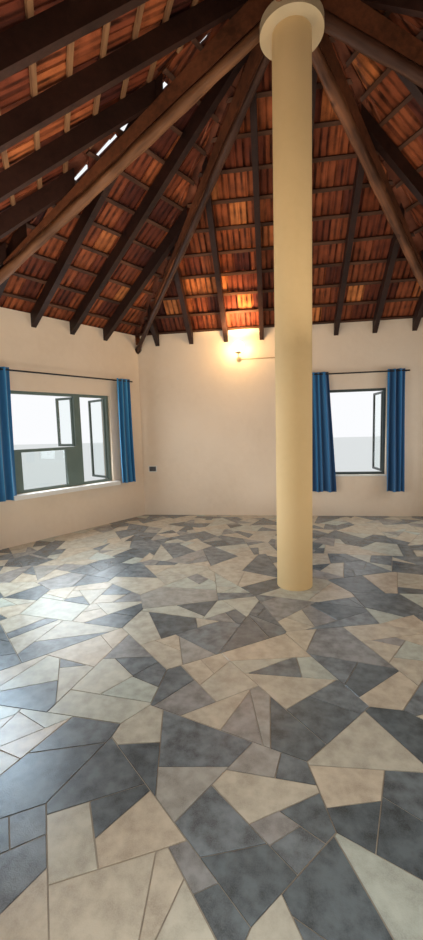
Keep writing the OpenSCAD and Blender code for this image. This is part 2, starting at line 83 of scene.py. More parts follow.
def by_wall(azimuth, along, out, up):
    """Points from distances along a wall, outwards from the axis and up: along times the wall's own
    direction plus out times its normal plus up."""
    c, s = np.cos(np.radians(azimuth)), np.sin(np.radians(azimuth))
    along, out, up = np.broadcast_arrays(along, out, up)
    return np.stack([along * c + out * s, out * c - along * s, up], -1)


def on_slope(azimuth, angle, across, down, lift):
    """Points on a plane that falls from the apex at an angle: down is measured along the fall, lift square
    to it."""
    c, s = math.cos(angle), math.sin(angle)
    return by_wall(azimuth, across, down * c + lift * s, APEX_Z - down * s + lift * c)


def grid_faces(rows, columns, closed=False):
    """Quads between neighbouring points of a grid, wound so that rows x columns points outwards. A closed
    grid joins its last column to its first."""
    r = np.arange(rows - 1)[:, None]
    c = np.arange(columns if closed else columns - 1)[None, :]
    d = (c + 1) % columns
    return np.stack(np.broadcast_arrays(r * columns + c, r * columns + d, (r + 1) * columns + d,
                                        (r + 1) * columns + c), -1).reshape(-1, 4)


def sleeve_faces(rings, edge):
    """Quads of a closed sleeve. Each ring is an upper edge of so many points and a lower edge back, and
    quads between the two edges close the first ring and the last."""
    k = np.arange(edge - 1)
    head = np.stack([k, k + 1, 2 * edge - 2 - k, 2 * edge - 1 - k], -1)
    return np.concatenate([grid_faces(rings, 2 * edge, closed=True)[:, ::-1], head,
                           head[:, ::-1] + 2 * edge * (rings - 1)])


def many(template, faces, count):
    """The faces of count copies of a template that has this many points."""
    return (faces[None] + np.arange(count)[:, None, None] * template).reshape(-1, faces.shape[1])


def new_piece(name, points, faces, finish, smooth_below=35, **layers):
    """A mesh object from an array of points and one or more arrays of faces. Each layer is an attribute with
    one value or vector a point."""
    points = np.asarray(points, float).reshape(-1, 3)
    loops = [np.asarray(f).ravel() for f in faces]
    counts = np.concatenate([np.full(len(f), np.shape(f)[1]) for f in faces])
    mesh = bpy.data.meshes.new(name)
    mesh.vertices.add(len(points))
    mesh.vertices.foreach_set("co", points.ravel())
    mesh.loops.add(int(counts.sum()))
    mesh.loops.foreach_set("vertex_index", np.concatenate(loops).astype(np.int32))
    mesh.polygons.add(len(counts))
    mesh.polygons.foreach_set("loop_start", (np.cumsum(counts) - counts).astype(np.int32))
    mesh.update(calc_edges=True)
    mesh.polygons.foreach_set("use_smooth", np.ones(len(counts), bool))
    mesh.set_sharp_from_angle(angle=math.radians(smooth_below))
    for layer, values in layers.items():
        kind, field = ("FLOAT_VECTOR", "vector") if values.ndim > 1 else ("FLOAT", "value")
        mesh.attributes.new(layer, kind, "POINT").data.foreach_set(field, values.ravel())
    mesh.materials.append(finish)
    piece = bpy.data.objects.new(name, mesh)
    bpy.context.scene.collection.objects.link(piece)
    return piece


def fitted(piece, stands_for):
    """Says that a piece rides on the hut and stands for this node, which it hides."""
    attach(piece, "root")
    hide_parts(stands_for)


def tube(path, radii, around=16, wobble=None):
    """A closed tube: circles square to a path, each with its own radius, and a point at either end.
    Returns the points, the faces and each point's place in the tube's own straightened frame."""
    path = np.asarray(path, float)
    radii = np.broadcast_to(np.asarray(radii, float), (len(path),))
    ahead = np.gradient(path, axis=0)
    ahead /= np.linalg.norm(ahead, axis=1, keepdims=True)
    side = np.cross(ahead, np.eye(3)[np.argmin(np.abs(ahead).max(0))])
    side /= np.linalg.norm(side, axis=1, keepdims=True)
    top = np.cross(side, ahead)
    turn = np.linspace(0, 2 * math.pi, around, endpoint=False)
    r = radii[:, None] * (np.ones((1, around)) if wobble is None else
                          wobble(turn[None, :], np.arange(len(path))[:, None]))
    ring = path[:, None] + r[..., None] * (side[:, None] * np.cos(turn)[None, :, None]
                                           + top[:, None] * np.sin(turn)[None, :, None])
    run = np.concatenate([[0], np.cumsum(np.linalg.norm(np.diff(path, axis=0), axis=1))])
    own = np.stack([r * np.cos(turn), r * np.sin(turn), np.broadcast_to(run[:, None], r.shape)], -1)
    points = np.concatenate([ring.reshape(-1, 3), path[:1], path[-1:]])
    own = np.concatenate([own.reshape(-1, 3), [[0, 0, run[0]]], [[0, 0, run[-1]]]])
    n, last = len(path) * around, (len(path) - 1) * around
    k = np.arange(around)
    caps = np.concatenate([np.stack([np.full(around, n), (k + 1) % around, k], -1),
                           np.stack([np.full(around, n + 1), last + k, last + (k + 1) % around], -1)])
    return points, [grid_faces(len(path), around, closed=True), caps], own


def joined(parts):
    """Several (points, face lists, own) results as one."""
    points, quads, tris, own, start = [], [], [], [], 0
    for p, faces, o in parts:
        for f in faces:
            (quads if f.shape[1] == 4 else tris).append(f + start)
        points.append(p)
        own.append(o)
        start += len(p)
    return np.concatenate(points), [np.concatenate(f) for f in (quads, tris) if f], np.concatenate(own)


def brick(low, high):
    """A box from its two corners."""
    low, high = np.asarray(low, float), np.asarray(high, float)
    corner = np.array([[0, 0, 0], [1, 0, 0], [1, 1, 0], [0, 1, 0],
                       [0, 0, 1], [1, 0, 1], [1, 1, 1], [0, 1, 1]])
    faces = np.array([[0, 3, 2, 1], [4, 5, 6, 7], [0, 1, 5, 4], [1, 2, 6, 5], [2, 3, 7, 6], [3, 0, 4, 7]])
    points = low + corner * (high - low)
    return points, [faces], points


# ---- finishes ----

def feed(made, values):
    """Gives a node's inputs, by name or number, a value of their own or a link from a socket."""
    for key, value in values.items():
        if isinstance(value, bpy.types.NodeSocket):
            made.id_data.links.new(value, made.inputs[key])
        else:
            made.inputs[key].default_value = value


def node(tree, kind, values=None, **settings):
    """A shader node with its settings and what its inputs take."""
    made = tree.nodes.new("ShaderNode" + kind)
    for key, value in settings.items():
        setattr(made, key, value)
    feed(made, values or {})
    return made


def socketed_group(name, inputs, outputs):
    """An empty shader node group with named inputs and outputs, each of its own kind."""
    group = bpy.data.node_groups.new(name, "ShaderNodeTree")
    for way, sockets in (("INPUT", inputs), ("OUTPUT", outputs)):
        for label, kind in sockets.items():
            group.interface.new_socket(name=label, in_out=way, socket_type="NodeSocket" + kind)
    return group, group.nodes.new("NodeGroupInput").outputs, group.nodes.new("NodeGroupOutput")


def blotches():
    """Two noises, one broad and one fine, mix a colour towards a second one, and give a height."""
    group, given, out = socketed_group(
        "blotched colour", {"Place": "Vector", "Main": "Color", "Second": "Color", "Size": "Float",
                            "Amount": "Float"}, {"Colour": "Color", "Height": "Float"})
    broad = node(group, "TexNoise", {"Vector": given["Place"], "Scale": given["Size"], "Detail": 5.0})
    fine_size = node(group, "Math", {0: given["Size"], 1: 14.0}, operation="MULTIPLY")
    fine = node(group, "TexNoise", {"Vector": given["Place"], "Scale": fine_size.outputs[0], "Detail": 4.0})
    spread = node(group, "MapRange", {"Value": broad.outputs["Fac"], "From Min": 0.35, "From Max": 0.68})
    grain = node(group, "MapRange", {"Value": fine.outputs["Fac"], "From Min": 0.25, "From Max": 0.75,
                                     "To Min": 0.55, "To Max": 1.25})
    mask = node(group, "Math", {0: spread.outputs[0], 1: grain.outputs[0]}, operation="MULTIPLY")
    share = node(group, "Math", {0: mask.outputs[0], 1: given["Amount"]}, operation="MULTIPLY",
                 use_clamp=True)
    mix = node(group, "Mix", {"Factor": share.outputs[0], 6: given["Main"], 7: given["Second"]},
               data_type="RGBA")
    feed(out, {"Colour": mix.outputs[2], "Height": fine.outputs["Fac"]})
    return group


def timber_grain():
    """Noise drawn out along the piece's third axis makes streaks between two colours, with dark knots."""
    group, given, out = socketed_group(
        "timber grain", {"Place": "Vector", "Light": "Color", "Dark": "Color", "Stretch": "Vector"},
        {"Colour": "Color", "Height": "Float"})
    drawn = node(group, "VectorMath", {0: given["Place"], 1: given["Stretch"]}, operation="MULTIPLY")
    streak = node(group, "TexNoise", {"Vector": drawn.outputs[0], "Scale": 1.0, "Detail": 6.0,
                                      "Roughness": 0.6})
    broad = node(group, "TexNoise", {"Vector": given["Place"], "Scale": 2.2, "Detail": 3.0})
    knots = node(group, "TexVoronoi", {"Vector": given["Place"], "Scale": 3.1})
    dark_knot = node(group, "MapRange", {"Value": knots.outputs["Distance"], "From Min": 0.04,
                                         "From Max": 0.13, "To Min": 0.85, "To Max": 0.0})
    both = node(group, "Math", {0: streak.outputs["Fac"], 1: broad.outputs["Fac"]}, operation="ADD")
    share = node(group, "MapRange", {"Value": both.outputs[0], "From Min": 0.72, "From Max": 1.28})
    knotted = node(group, "Math", {0: share.outputs[0], 1: dark_knot.outputs[0]}, operation="ADD",
                   use_clamp=True)
    mix = node(group, "Mix", {"Factor": knotted.outputs[0], 6: given["Light"], 7: given["Dark"]},
               data_type="RGBA")
    feed(out, {"Colour": mix.outputs[2], "Height": streak.outputs["Fac"]})
    return group


BLOTCHES = blotches()
GRAIN = timber_grain()


def blank(name, roughness, metallic=0.0):
    """A new finish, its node tree and its shader."""
    finish = bpy.data.materials.new(name)
    finish.use_nodes = True
    shader = finish.node_tree.nodes["Principled BSDF"]
    feed(shader, {"Roughness": roughness, "Metallic": metallic})
    return finish, finish.node_tree, shader


def plain(name, roughness, values):
    """A finish that is the same all over."""
    finish, _, shader = blank(name, roughness)
    feed(shader, values)
    return finish


def own_place(tree):
    """Object coordinates, which are the part's own metres."""
    return node(tree, "TexCoord").outputs["Object"]


def relief(shader, height, depth):
    """A height times a depth raises the surface, on top of the relief that its shader already has."""
    bump = node(shader.id_data, "Bump", {"Height": height, "Distance": depth, "Strength": 1.0})
    for below in [link.from_socket for link in shader.inputs["Normal"].links]:
        feed(bump, {"Normal": below})
    feed(shader, {"Normal": bump.outputs[0]})


def from_ramp(tree, layer, ramp):
    """The value of a piece's attribute, and the colour that a ramp of (value, colour) steps has there."""
    value = node(tree, "Attribute", attribute_name=layer).outputs["Fac"]
    colours = node(tree, "ValToRGB", {"Fac": value})
    steps = colours.color_ramp.elements
    while len(steps) < len(ramp):
        steps.new(0.5)
    for step, (at, colour) in zip(steps, ramp):
        step.position = at
        step.color = (*colour, 1)
    return value, colours.outputs["Color"]


def blotched(name, main, second, size, amount, roughness, depth, metallic=0.0):
    """A finish whose colour wanders between two, with a fine relief unless its depth is 0."""
    finish, tree, shader = blank(name, roughness, metallic)
    look = node(tree, "Group", {"Place": own_place(tree), "Main": (*main, 1), "Second": (*second, 1),
                                "Size": size, "Amount": amount}, node_tree=BLOTCHES)
    feed(shader, {"Base Color": look.outputs["Colour"]})
    if depth:
        relief(shader, look.outputs["Height"], depth)
    return finish


def grained(name, light, dark, stretch, roughness, depth=0.002, layer=None):
    """Timber with its grain along the piece, from Object coordinates or from the piece's own attribute."""
    finish, tree, shader = blank(name, roughness)
    place = node(tree, "Attribute", attribute_name=layer).outputs["Vector"] if layer else own_place(tree)
    look = node(tree, "Group", {"Place": place, "Light": (*light, 1), "Dark": (*dark, 1), "Stretch": stretch},
                node_tree=GRAIN)
    feed(shader, {"Base Color": look.outputs["Colour"]})
    relief(shader, look.outputs["Height"], depth)
    return finish


def toned(name, ramp, roughness, size, amount, depth, rough_low=None, pale_amount=None):
    """A finish in which each stone or tile takes its own colour from a ramp, by its tone attribute, and is
    blotched over with a darker one. Pale ones may be blotched by another amount, and the roughness may
    wander down to a lower one."""
    finish, tree, shader = blank(name, roughness)
    tone, colour = from_ramp(tree, "tone", ramp)
    # The tone also moves each one's place in the blotches, so that neighbours differ
    moved = node(tree, "VectorMath", {0: tone, 1: (9, 7, 0), 2: own_place(tree)}, operation="MULTIPLY_ADD")
    darker = node(tree, "Mix", {"Factor": 1.0, 6: colour, 7: (0.46, 0.44, 0.43, 1)}, data_type="RGBA",
                  blend_type="MULTIPLY")
    if pale_amount is not None:
        amount = node(tree, "MapRange", {"Value": tone, "From Min": 0.42, "From Max": 0.68, "To Min": amount,
                                         "To Max": pale_amount}).outputs[0]
    look = node(tree, "Group", {"Place": moved.outputs[0], "Main": colour, "Second": darker.outputs[2],
                                "Size": size, "Amount": amount}, node_tree=BLOTCHES)
    feed(shader, {"Base Color": look.outputs["Colour"]})
    if rough_low is not None:
        shine = node(tree, "MapRange", {"Value": look.outputs["Height"], "To Min": rough_low,
                                        "To Max": roughness})
        feed(shader, {"Roughness": shine.outputs[0]})
    relief(shader, look.outputs["Height"], depth)
    return finish


def pressed_ribs(finish):
    """Ribs that run down each tile: its own place across, times three turns, gives them painted shade in the
    grooves, deeper here and lighter there, and raises them."""
    tree = finish.node_tree
    shader = tree.nodes["Principled BSDF"]
    across = node(tree, "Attribute", attribute_name="across")
    turns = node(tree, "Math", {0: across.outputs["Fac"], 1: 2 * math.pi * 3}, operation="MULTIPLY")
    wave = node(tree, "Math", {0: turns.outputs[0]}, operation="SINE")
    rib = node(tree, "MapRange", {"Value": wave.outputs[0], "From Min": -0.9, "From Max": 0.1})
    # A noise sets how deep the painted shade in the grooves goes, from 0.16 to 0.80 of the tile's colour
    groove_shade_noise = node(tree, "TexNoise", {"Vector": own_place(tree), "Scale": 5.0, "Detail": 3.0})
    deepest_groove_shade = node(tree, "MapRange", {"Value": groove_shade_noise.outputs["Fac"], "From Min": 0.35, "From Max": 0.65,
                                     "To Min": 0.16, "To Max": 0.80})
    shade = node(tree, "MapRange", {"Value": rib.outputs[0], "To Min": deepest_groove_shade.outputs[0], "To Max": 1.0})
    smooth = shader.inputs["Base Color"].links[0].from_socket
    darker = node(tree, "Mix", {"Factor": 1.0, 6: smooth, 7: shade.outputs[0]}, data_type="RGBA",
                  blend_type="MULTIPLY")
    feed(shader, {"Base Color": darker.outputs[2]})
    relief(shader, rib.outputs[0], 0.004)


def curtain_cloth():
    """Blue cotton: painted highlight where the folds turn outwards and painted shade in their hollows, from
    the fold attribute, with a fine weave.
    """
    finish, tree, shader = blank("blue curtain cotton", 0.9)
    _, colour = from_ramp(tree, "fold", [(0.0, (0.014, 0.045, 0.115)), (0.7, (0.030, 0.180, 0.385)),
                                         (1.0, (0.075, 0.330, 0.600))])
    feed(shader, {"Base Color": colour, "Sheen Weight": 0.3})
    weave = node(tree, "TexNoise", {"Vector": own_place(tree), "Scale": 420.0, "Detail": 2.0})
    relief(shader, weave.outputs["Fac"], 0.0006)
    return finish


# Two colours, the blotches' size and amount, the roughness and the relief's depth
wall_plaster = blotched("wall plaster", (0.81, 0.665, 0.51), (0.73, 0.58, 0.43), 0.9, 0.7, 0.85, 0.003)
column_plaster = blotched("column plaster", (0.66, 0.468, 0.232), (0.60, 0.42, 0.195), 1.4, 0.7, 0.75, 0.002)
capital_plaster = blotched("capital plaster", (0.44, 0.34, 0.205), (0.385, 0.29, 0.17), 2.0, 0.6, 0.75,
                           0.002)
plinth_stone = blotched("plinth stone", (0.36, 0.33, 0.30), (0.22, 0.20, 0.18), 2.5, 0.9, 0.9, 0.012)
grout = blotched("paving joints", (0.33, 0.28, 0.21), (0.22, 0.18, 0.14), 3.0, 0.8, 0.8, 0.002)
sill_render = blotched("sill render", (0.80, 0.78, 0.73), (0.66, 0.63, 0.58), 2.0, 0.6, 0.6, 0.001)
cap_mortar = blotched("cap mortar", (0.45, 0.27, 0.20), (0.30, 0.18, 0.13), 3.0, 0.8, 0.9, 0.006)
window_paint = blotched("window enamel", (0.040, 0.056, 0.054), (0.075, 0.095, 0.090), 5.0, 0.5, 0.38,
                        0.0006)
# A lighter, greener copy of the window enamel paints the back left and back right frames as lit
window_enamel_painted_lit = blotched("window enamel painted lit", (0.115, 0.160, 0.140), (0.150, 0.200, 0.175), 5.0, 0.5, 0.42,
                       0.0006)
rod_paint = blotched("rod enamel", (0.012, 0.012, 0.014), (0.03, 0.03, 0.03), 6.0, 0.4, 0.35, 0.0)
conduit_plastic = blotched("conduit plastic", (0.46, 0.32, 0.18), (0.36, 0.25, 0.13), 4.0, 0.5, 0.45, 0.0)
switch_dark = blotched("dark switch plate", (0.05, 0.05, 0.05), (0.09, 0.09, 0.09), 8.0, 0.4, 0.35, 0.0)
switch_pale = blotched("pale switch surround", (0.75, 0.72, 0.66), (0.66, 0.63, 0.57), 8.0, 0.4, 0.4, 0.0)
bracket_metal = blotched("lamp bracket metal", (0.52, 0.40, 0.24), (0.40, 0.29, 0.16), 9.0, 0.5, 0.4, 0.0,
                         metallic=0.5)

# Light and dark, how the grain is drawn out, the roughness, the relief's depth and the attribute
ON_LOGS = (26, 26, 2.0), 0.5, 0.004, "own"
ON_LATHS = (30, 30, 2.5), 0.7, 0.002, "own"
log_wood = grained("peeled log", (0.200, 0.087, 0.039), (0.050, 0.020, 0.009), *ON_LOGS)
brown_log = grained("brown peeled log", (0.22, 0.086, 0.038), (0.042, 0.017, 0.009), *ON_LOGS)
log_in_painted_shade = grained("peeled log in painted shade", (0.080, 0.033, 0.018), (0.028, 0.012, 0.008), *ON_LOGS)
# The laths are of one timber: the pale copy is painted light, for the front sides, and the dark copy painted
# shade, for the others
lath_timber_painted_lit = grained("pale batten laths", (0.27, 0.135, 0.060), (0.11, 0.050, 0.026), *ON_LATHS)
lath_timber_in_painted_shade = grained("dark batten laths", (0.11, 0.046, 0.024), (0.035, 0.015, 0.009), *ON_LATHS)
dark_timber = grained("dark rafter timber", (0.032, 0.013, 0.009), (0.011, 0.005, 0.004), (24, 24, 24), 0.6)
hip_timber = grained("hip board timber", (0.180, 0.060, 0.026), (0.058, 0.021, 0.010), (20, 20, 20), 0.6)
door_wood = grained("door planks", (0.20, 0.105, 0.06), (0.08, 0.04, 0.024), (40, 40, 2.5), 0.45, layer="own")
frame_wood = grained("door frame timber", (0.17, 0.09, 0.052), (0.07, 0.036, 0.022), (30, 30, 3), 0.5)

# A ramp of colours, the roughness, the blotches' size and amount, and the relief's depth
clay_tile = toned("clay tiles", [(0.0, (0.075, 0.017, 0.011)), (0.40, (0.20, 0.046, 0.020)),
                                 (0.75, (0.38, 0.100, 0.034)), (1.0, (0.68, 0.22, 0.065))],
                  0.8, 7.0, 0.95, 0.003)
pressed_ribs(clay_tile)
clay_ridge = toned("clay ridge tiles", [(0.0, (0.17, 0.055, 0.032)), (1.0, (0.34, 0.11, 0.055))],
                   0.85, 7.0, 0.9, 0.003)
facing_stone = toned("facing stones", [(0.0, (0.15, 0.13, 0.11)), (0.5, (0.27, 0.24, 0.205)),
                                       (1.0, (0.42, 0.38, 0.32))], 0.9, 5.0, 0.9, 0.006)
paving = toned("paving stones", [(0.0, (0.120, 0.140, 0.145)), (0.42, (0.22, 0.245, 0.25)),
                                 (0.56, (0.33, 0.31, 0.28)), (0.70, (0.47, 0.455, 0.37)),
                                 (0.86, (0.55, 0.465, 0.345)), (1.0, (0.46, 0.49, 0.415))],
               0.32, 15.0, 1.0, 0.0008, rough_low=0.15, pale_amount=0.55)

window_glass = plain("window glass", 0.02, {"Base Color": (0.92, 0.97, 0.96, 1), "Transmission Weight": 1.0,
                                            "IOR": 1.45})
opal = plain("glowing opal glass", 0.3, {"Base Color": (1.0, 0.86, 0.66, 1),
                                         "Emission Color": (1.0, 0.72, 0.40, 1), "Emission Strength": 3.0})
cotton = curtain_cloth()

# What the part's nodes are made of, by name or else by a name's first word
FINISHES = {"plinth": plinth_stone, "floor_paving": grout, "column_shaft": column_plaster,
            "column_capital": capital_plaster, "apex_post": dark_timber, "hip_rafters": hip_timber,
            "battens": lath_timber_painted_lit, "hip_tiles": clay_ridge, "apex_cap": cap_mortar,
            "window_panes": window_glass, "window_sills": sill_render, "curtain_rods": rod_paint,
            "curtains": cotton, "door_frame": frame_wood, "door_leaf": door_wood,
            "wall_fittings": conduit_plastic, "window_back_left": window_enamel_painted_lit,
            "window_back_right": window_enamel_painted_lit}
GROUP_FINISHES = {"wall": wall_plaster, "door": wall_plaster, "hip": log_wood, "rafters": dark_timber,
                  "tiles": clay_tile, "window": window_paint}
for name, thing in nodes.items():
    thing.data.materials.clear()
    thing.data.materials.append(FINISHES.get(name) or GROUP_FINISHES[name.split("_")[0]])


# ---- roof covering ----

# Cross-section of one interlocking tile: shares of its width, and heights of its face over its bed
TILE_ACROSS = np.array([0.0, 0.05, 0.11, 0.17, 0.42, 0.465, 0.535, 0.58, 0.88, 0.94, 1.06])
TILE_HEIGHT = np.array([0.012, 0.014, 0.014, 0.004, 0.004, 0.013, 0.013, 0.004, 0.004, 0.021, 0.023])
TILE_W, TILE_THICK, TILE_LAP = 0.235, 0.012, 0.06
RIDGE_STEP, RIDGE_LAP, RIDGE_THICK, RIDGE_TOP = 0.335, 0.05, 0.014, 0.42

# Places on the back left side where a tile is cut short beside its left hip and lets daylight in: how far
# down the hip, and how far short
SHORT_CUTS = ((1.10, 0.135), (1.50, 0.175), (1.86, 0.175), (2.20, 0.155), (2.64, 0.160))


def half_width(side, down):
    """Half the width of a side's roof, at distances down the slope."""
    angle = math.atan(RISE / apothem(side))
    return down * math.cos(angle) * wall_length(side) / 2 / apothem(side)


def tile_side(side):
    """A side's tiles, laid in courses from the eave to the apex. A tile is its cross-section, upper and lower
    face, carried from its head to its tail, which lies on the tile below. Tiles at the hips are cut along
    them: what lies past the cut is drawn in to it."""
    angle = math.atan(RISE / apothem(side))
    end = apothem(side) * EAVE_RATIO / math.cos(angle) + TILE_DRIP
    places = []
    for row, tail in enumerate(end - COURSE * np.arange(int(end / COURSE))):
        count = int(half_width(side, tail) / TILE_W) + 2
        u = (np.arange(-count, count) + 0.5 * (row % 2)) * TILE_W
        places.append([u, np.full(len(u), tail)])
    u, tail = np.concatenate(places, 1)
    # A tile is laid where its edge nearer to the side's middle lies 40 mm or more short of the hip
    near = np.minimum(np.abs(u), np.abs(u + TILE_W)) * (np.sign(u) == np.sign(u + TILE_W))
    kept = near < half_width(side, tail) - 0.04
    u, tail = u[kept], tail[kept]
    n, m = len(u), len(TILE_ACROSS)
    sway = draw.normal(0, 0.0014, (n, 3))
    lift = draw.normal(0, 0.0012, n)
    tone = np.clip(draw.normal(0.5, 0.24, n), 0, 1)
    # Sections at a tile's head, between and at its tail; none comes nearer to the apex than 70 mm
    down = tail[:, None] - np.array([COURSE + TILE_LAP, 0.19, 0.0])
    short = 0.02 + draw.uniform(0.0, 0.05, (n, 3))
    for run, deep in SHORT_CUTS if side == "back_left" else ():
        spot = run * math.cos(math.atan(RISE / CORNER_R)) * apothem(side) / CORNER_R / math.cos(angle)
        there = (u + TILE_W / 2 < 0) & (tail >= spot) & (tail < spot + COURSE)
        down[there, 1] = np.clip(spot - 0.10, tail[there] - 0.33, tail[there] - 0.16)
        short[there] = [0.03, deep, deep]
    down = np.maximum(down, [0.07, 0.08, 0.09])
    limit = half_width(side, down) - short
    x = (u[:, None] + TILE_ACROSS * TILE_W)[:, None, :] + sway[:, :, None]
    past = np.abs(x) - limit[:, :, None]
    x = np.where(past > 0, np.sign(x) * (limit[:, :, None] + 0.02 * past), x)
    fall = (down - down[:, :1]) / (down[:, 2:] - down[:, :1])
    bed = (0.001 + 0.016 * fall)[:, :, None] + lift[:, None, None]
    face = BATTEN_T + bed + TILE_HEIGHT + TILE_THICK
    top, low = (on_slope(SIDES[side], angle, x, down[:, :, None], height)
                for height in (face, face - TILE_THICK))
    share = np.broadcast_to(TILE_ACROSS, x.shape)
    return new_piece(f"clay_tiles_{side}", np.concatenate([top, low[:, :, ::-1]], 2),
                     [many(6 * m, sleeve_faces(3, m), n)], clay_tile, 40, tone=np.repeat(tone, 6 * m),
                     across=np.concatenate([share, share[:, :, ::-1]], 2).ravel())


def ridge_row():
    """Half-round tiles along the six hips. Each is an arc of 196 degrees, outer and inner face, that widens
    from its head to its tail and lies over the head of the next."""
    hip_angle = math.atan(RISE / CORNER_R)
    end = (CORNER_R * EAVE_RATIO + TILE_DRIP) / math.cos(hip_angle)
    turn = np.radians(np.linspace(-98, 98, 10))
    m = len(turn)
    # At the head and the tail: radius of the outer and inner face, and height of the arc's middle
    radius = np.array([0.098, 0.115])[:, None, None] - np.array([0.0, RIDGE_THICK])[:, None]
    height = np.array([0.030, 0.035])[:, None, None] + radius * np.cos(turn)
    points, tones = [], []
    for azimuth in CORNERS.values():
        tails = end - RIDGE_STEP * np.arange(int((end - RIDGE_TOP) / RIDGE_STEP) + 1)
        ends = np.stack([tails - RIDGE_STEP - RIDGE_LAP, tails], -1)
        ends[1:] += (0.003 * draw.normal(size=(len(tails), 1)))[1:]
        p = on_slope(azimuth, hip_angle, radius * np.sin(turn), ends[:, :, None, None], height)
        points.append(np.concatenate([p[:, :, 0], p[:, :, 1, ::-1]], 2))
        tones.append(np.clip(draw.normal(0.5, 0.25, len(tails)), 0, 1))
    points = np.concatenate(points)
    return new_piece("ridge_tiles", points, [many(4 * m, sleeve_faces(2, m), len(points))], clay_ridge, 40,
                     tone=np.repeat(np.concatenate(tones), 4 * m))


def batten_rows(side, finish):
    """A side's battens: square bars across the slope, one a course, with faces a little out of true. Each is
    a row of four-cornered sections from hip to hip."""
    angle = math.atan(RISE / apothem(side))
    length = apothem(side) * EAVE_RATIO / math.cos(angle)
    starts = length - COURSE * np.arange(int((length - COURSE) / COURSE) + 1) - BATTEN_W
    sections = 14
    down = starts[:, None] + BATTEN_W * np.array([0, 1, 1, 0])
    reach = half_width(side, down) - 0.004
    across = np.linspace(-1, 1, sections)[None, :, None] * reach[:, None, :]
    rough = draw.uniform(-0.003, 0.0, (len(starts), sections, 4)) * np.array([-1, 1, 1, -1])
    # The laths lie half a millimetre and more inside the part's battens
    lift = np.broadcast_to([0.0005, 0.0005, 0.0235, 0.0235], across.shape)
    down = down[:, None, :] + rough
    points = on_slope(SIDES[side], angle, across, down, lift)
    ends = np.array([[0, 1, 2, 3], 4 * sections - np.arange(1, 5)])
    faces = many(4 * sections, np.concatenate([grid_faces(sections, 4, closed=True)[:, ::-1], ends]),
                 len(starts))
    return new_piece(f"batten_laths_{side}", points, [faces], finish, 30,
                     own=np.stack([down, lift, across], -1).reshape(-1, 3))


for side in SIDES:
    fitted(tile_side(side), f"tiles_{side}")
fitted(ridge_row(), "hip_tiles")
# The front sides' laths take the copy painted lit, the other sides' the copy in painted shade
for side in SIDES:
    fitted(batten_rows(side, lath_timber_painted_lit if "front" in side else lath_timber_in_painted_shade), "battens")


# ---- poles ----

def log(name, azimuth, thick, finish):
    """A peeled log: a tube whose radius swells and shrinks a little along it and round it, on a path that
    bows a little."""
    sections = 90
    foot_z = EAVE_Z - POLE_DROP
    rise = (POLE_TOP_Z - foot_z) / (CORNER_R - CAPITAL_R)
    t = np.linspace(0, 1, sections)
    r = 0.10 + t * CORNER_R
    bow = 0.012 * np.sin(math.pi * t) * draw.normal() + 0.005 * np.sin(3 * math.pi * t + draw.uniform(0, 6))
    path = by_wall(azimuth, bow, r, foot_z + (CORNER_R - r) * rise)
    lumps = draw.uniform(0, 2 * math.pi, 6)
    knots = np.stack([draw.uniform(0, 2 * math.pi, 14), draw.uniform(0, sections, 14)], -1)
    radii = thick / 2 - 0.003 * t + (0.0030 * np.sin(9 * t + lumps[0]) + 0.0030 * np.sin(23 * t + lumps[1])
                                     + 0.0026 * np.sin(57 * t + lumps[4]))

    def surface(turn, i):
        """Two, three and five swellings round the log that wind along it, and a bump at each knot."""
        swell = (1 + 0.025 * np.sin(2 * turn + lumps[2] + i / 25)
                 + 0.012 * np.sin(5 * turn + lumps[3] + i / 13) + 0.018 * np.sin(3 * turn + lumps[5] + i / 4))
        for at, where in knots:
            swell = swell + 0.13 * np.exp(-(2 - 2 * np.cos(turn - at)) / 0.12 - ((i - where) / 1.1) ** 2)
        return swell

    points, faces, own = tube(path, radii, 32, surface)
    return new_piece(name, points, faces, finish, 50, own=own + draw.uniform(0, 20))


# Thickness and finish of the log at each corner. The logs are of one wood; the darker and lighter finishes
# are painted shade and painted light for how each log is lit
LOGS = {"left": (0.104, log_wood), "back_left": (0.080, log_in_painted_shade), "back_right": (0.110, brown_log),
        "right": (0.100, log_in_painted_shade), "front_right": (0.114, brown_log), "front_left": (0.112, log_wood)}
for name, azimuth in CORNERS.items():
    fitted(log(f"log_{name}", azimuth, *LOGS[name]), f"hip_pole_{name}")


# ---- floor ----

def cut_by_line(shape, point, normal):
    """The part of a convex polygon on the side of a line that its normal points away from."""
    side = (shape - point) @ normal
    after, side_after = np.roll(shape, -1, 0), np.roll(side, -1)
    kept = []
    for p, q, a, b in zip(shape, after, side, side_after):
        if a <= 0:
            kept.append(p)
        if (a < 0 < b) or (b < 0 < a):
            kept.append(p + (q - p) * a / (a - b))
    return np.array(kept)


def drawn_in(shape, gap):
    """A convex polygon with each edge moved inwards."""
    for p, q in zip(shape, np.roll(shape, -1, 0)):
        if len(shape) < 3:
            break
        d = (q - p) / max(np.linalg.norm(q - p), 1e-9)
        normal = np.array([d[1], -d[0]])
        shape = cut_by_line(shape, p - normal * gap, normal)
    return shape


def hexagon(out=0.0):
    """The corners of the plan, counter-clockwise, with the walls' lines moved out by about this much."""
    mean_ap = 3.4
    turns = np.radians(sorted(CORNERS.values(), reverse=True))
    return np.stack([np.sin(turns), np.cos(turns)], -1) * CORNER_R * (1 + out / mean_ap)


def doorway(inwards=0.0):
    """The doorway's corners, from the outer face of the wall to the inner one, or further in."""
    outer, inner = -NARROW_AP - WALL_T, -NARROW_AP + inwards
    return np.array([[-DOOR_HALF, outer], [DOOR_HALF, outer], [DOOR_HALF, inner], [-DOOR_HALF, inner]])


def area(shape):
    """Half the sum of the cross products of neighbouring corners."""
    x, y = shape.T
    return 0.5 * abs(np.sum(x * np.roll(y, -1) - y * np.roll(x, -1)))


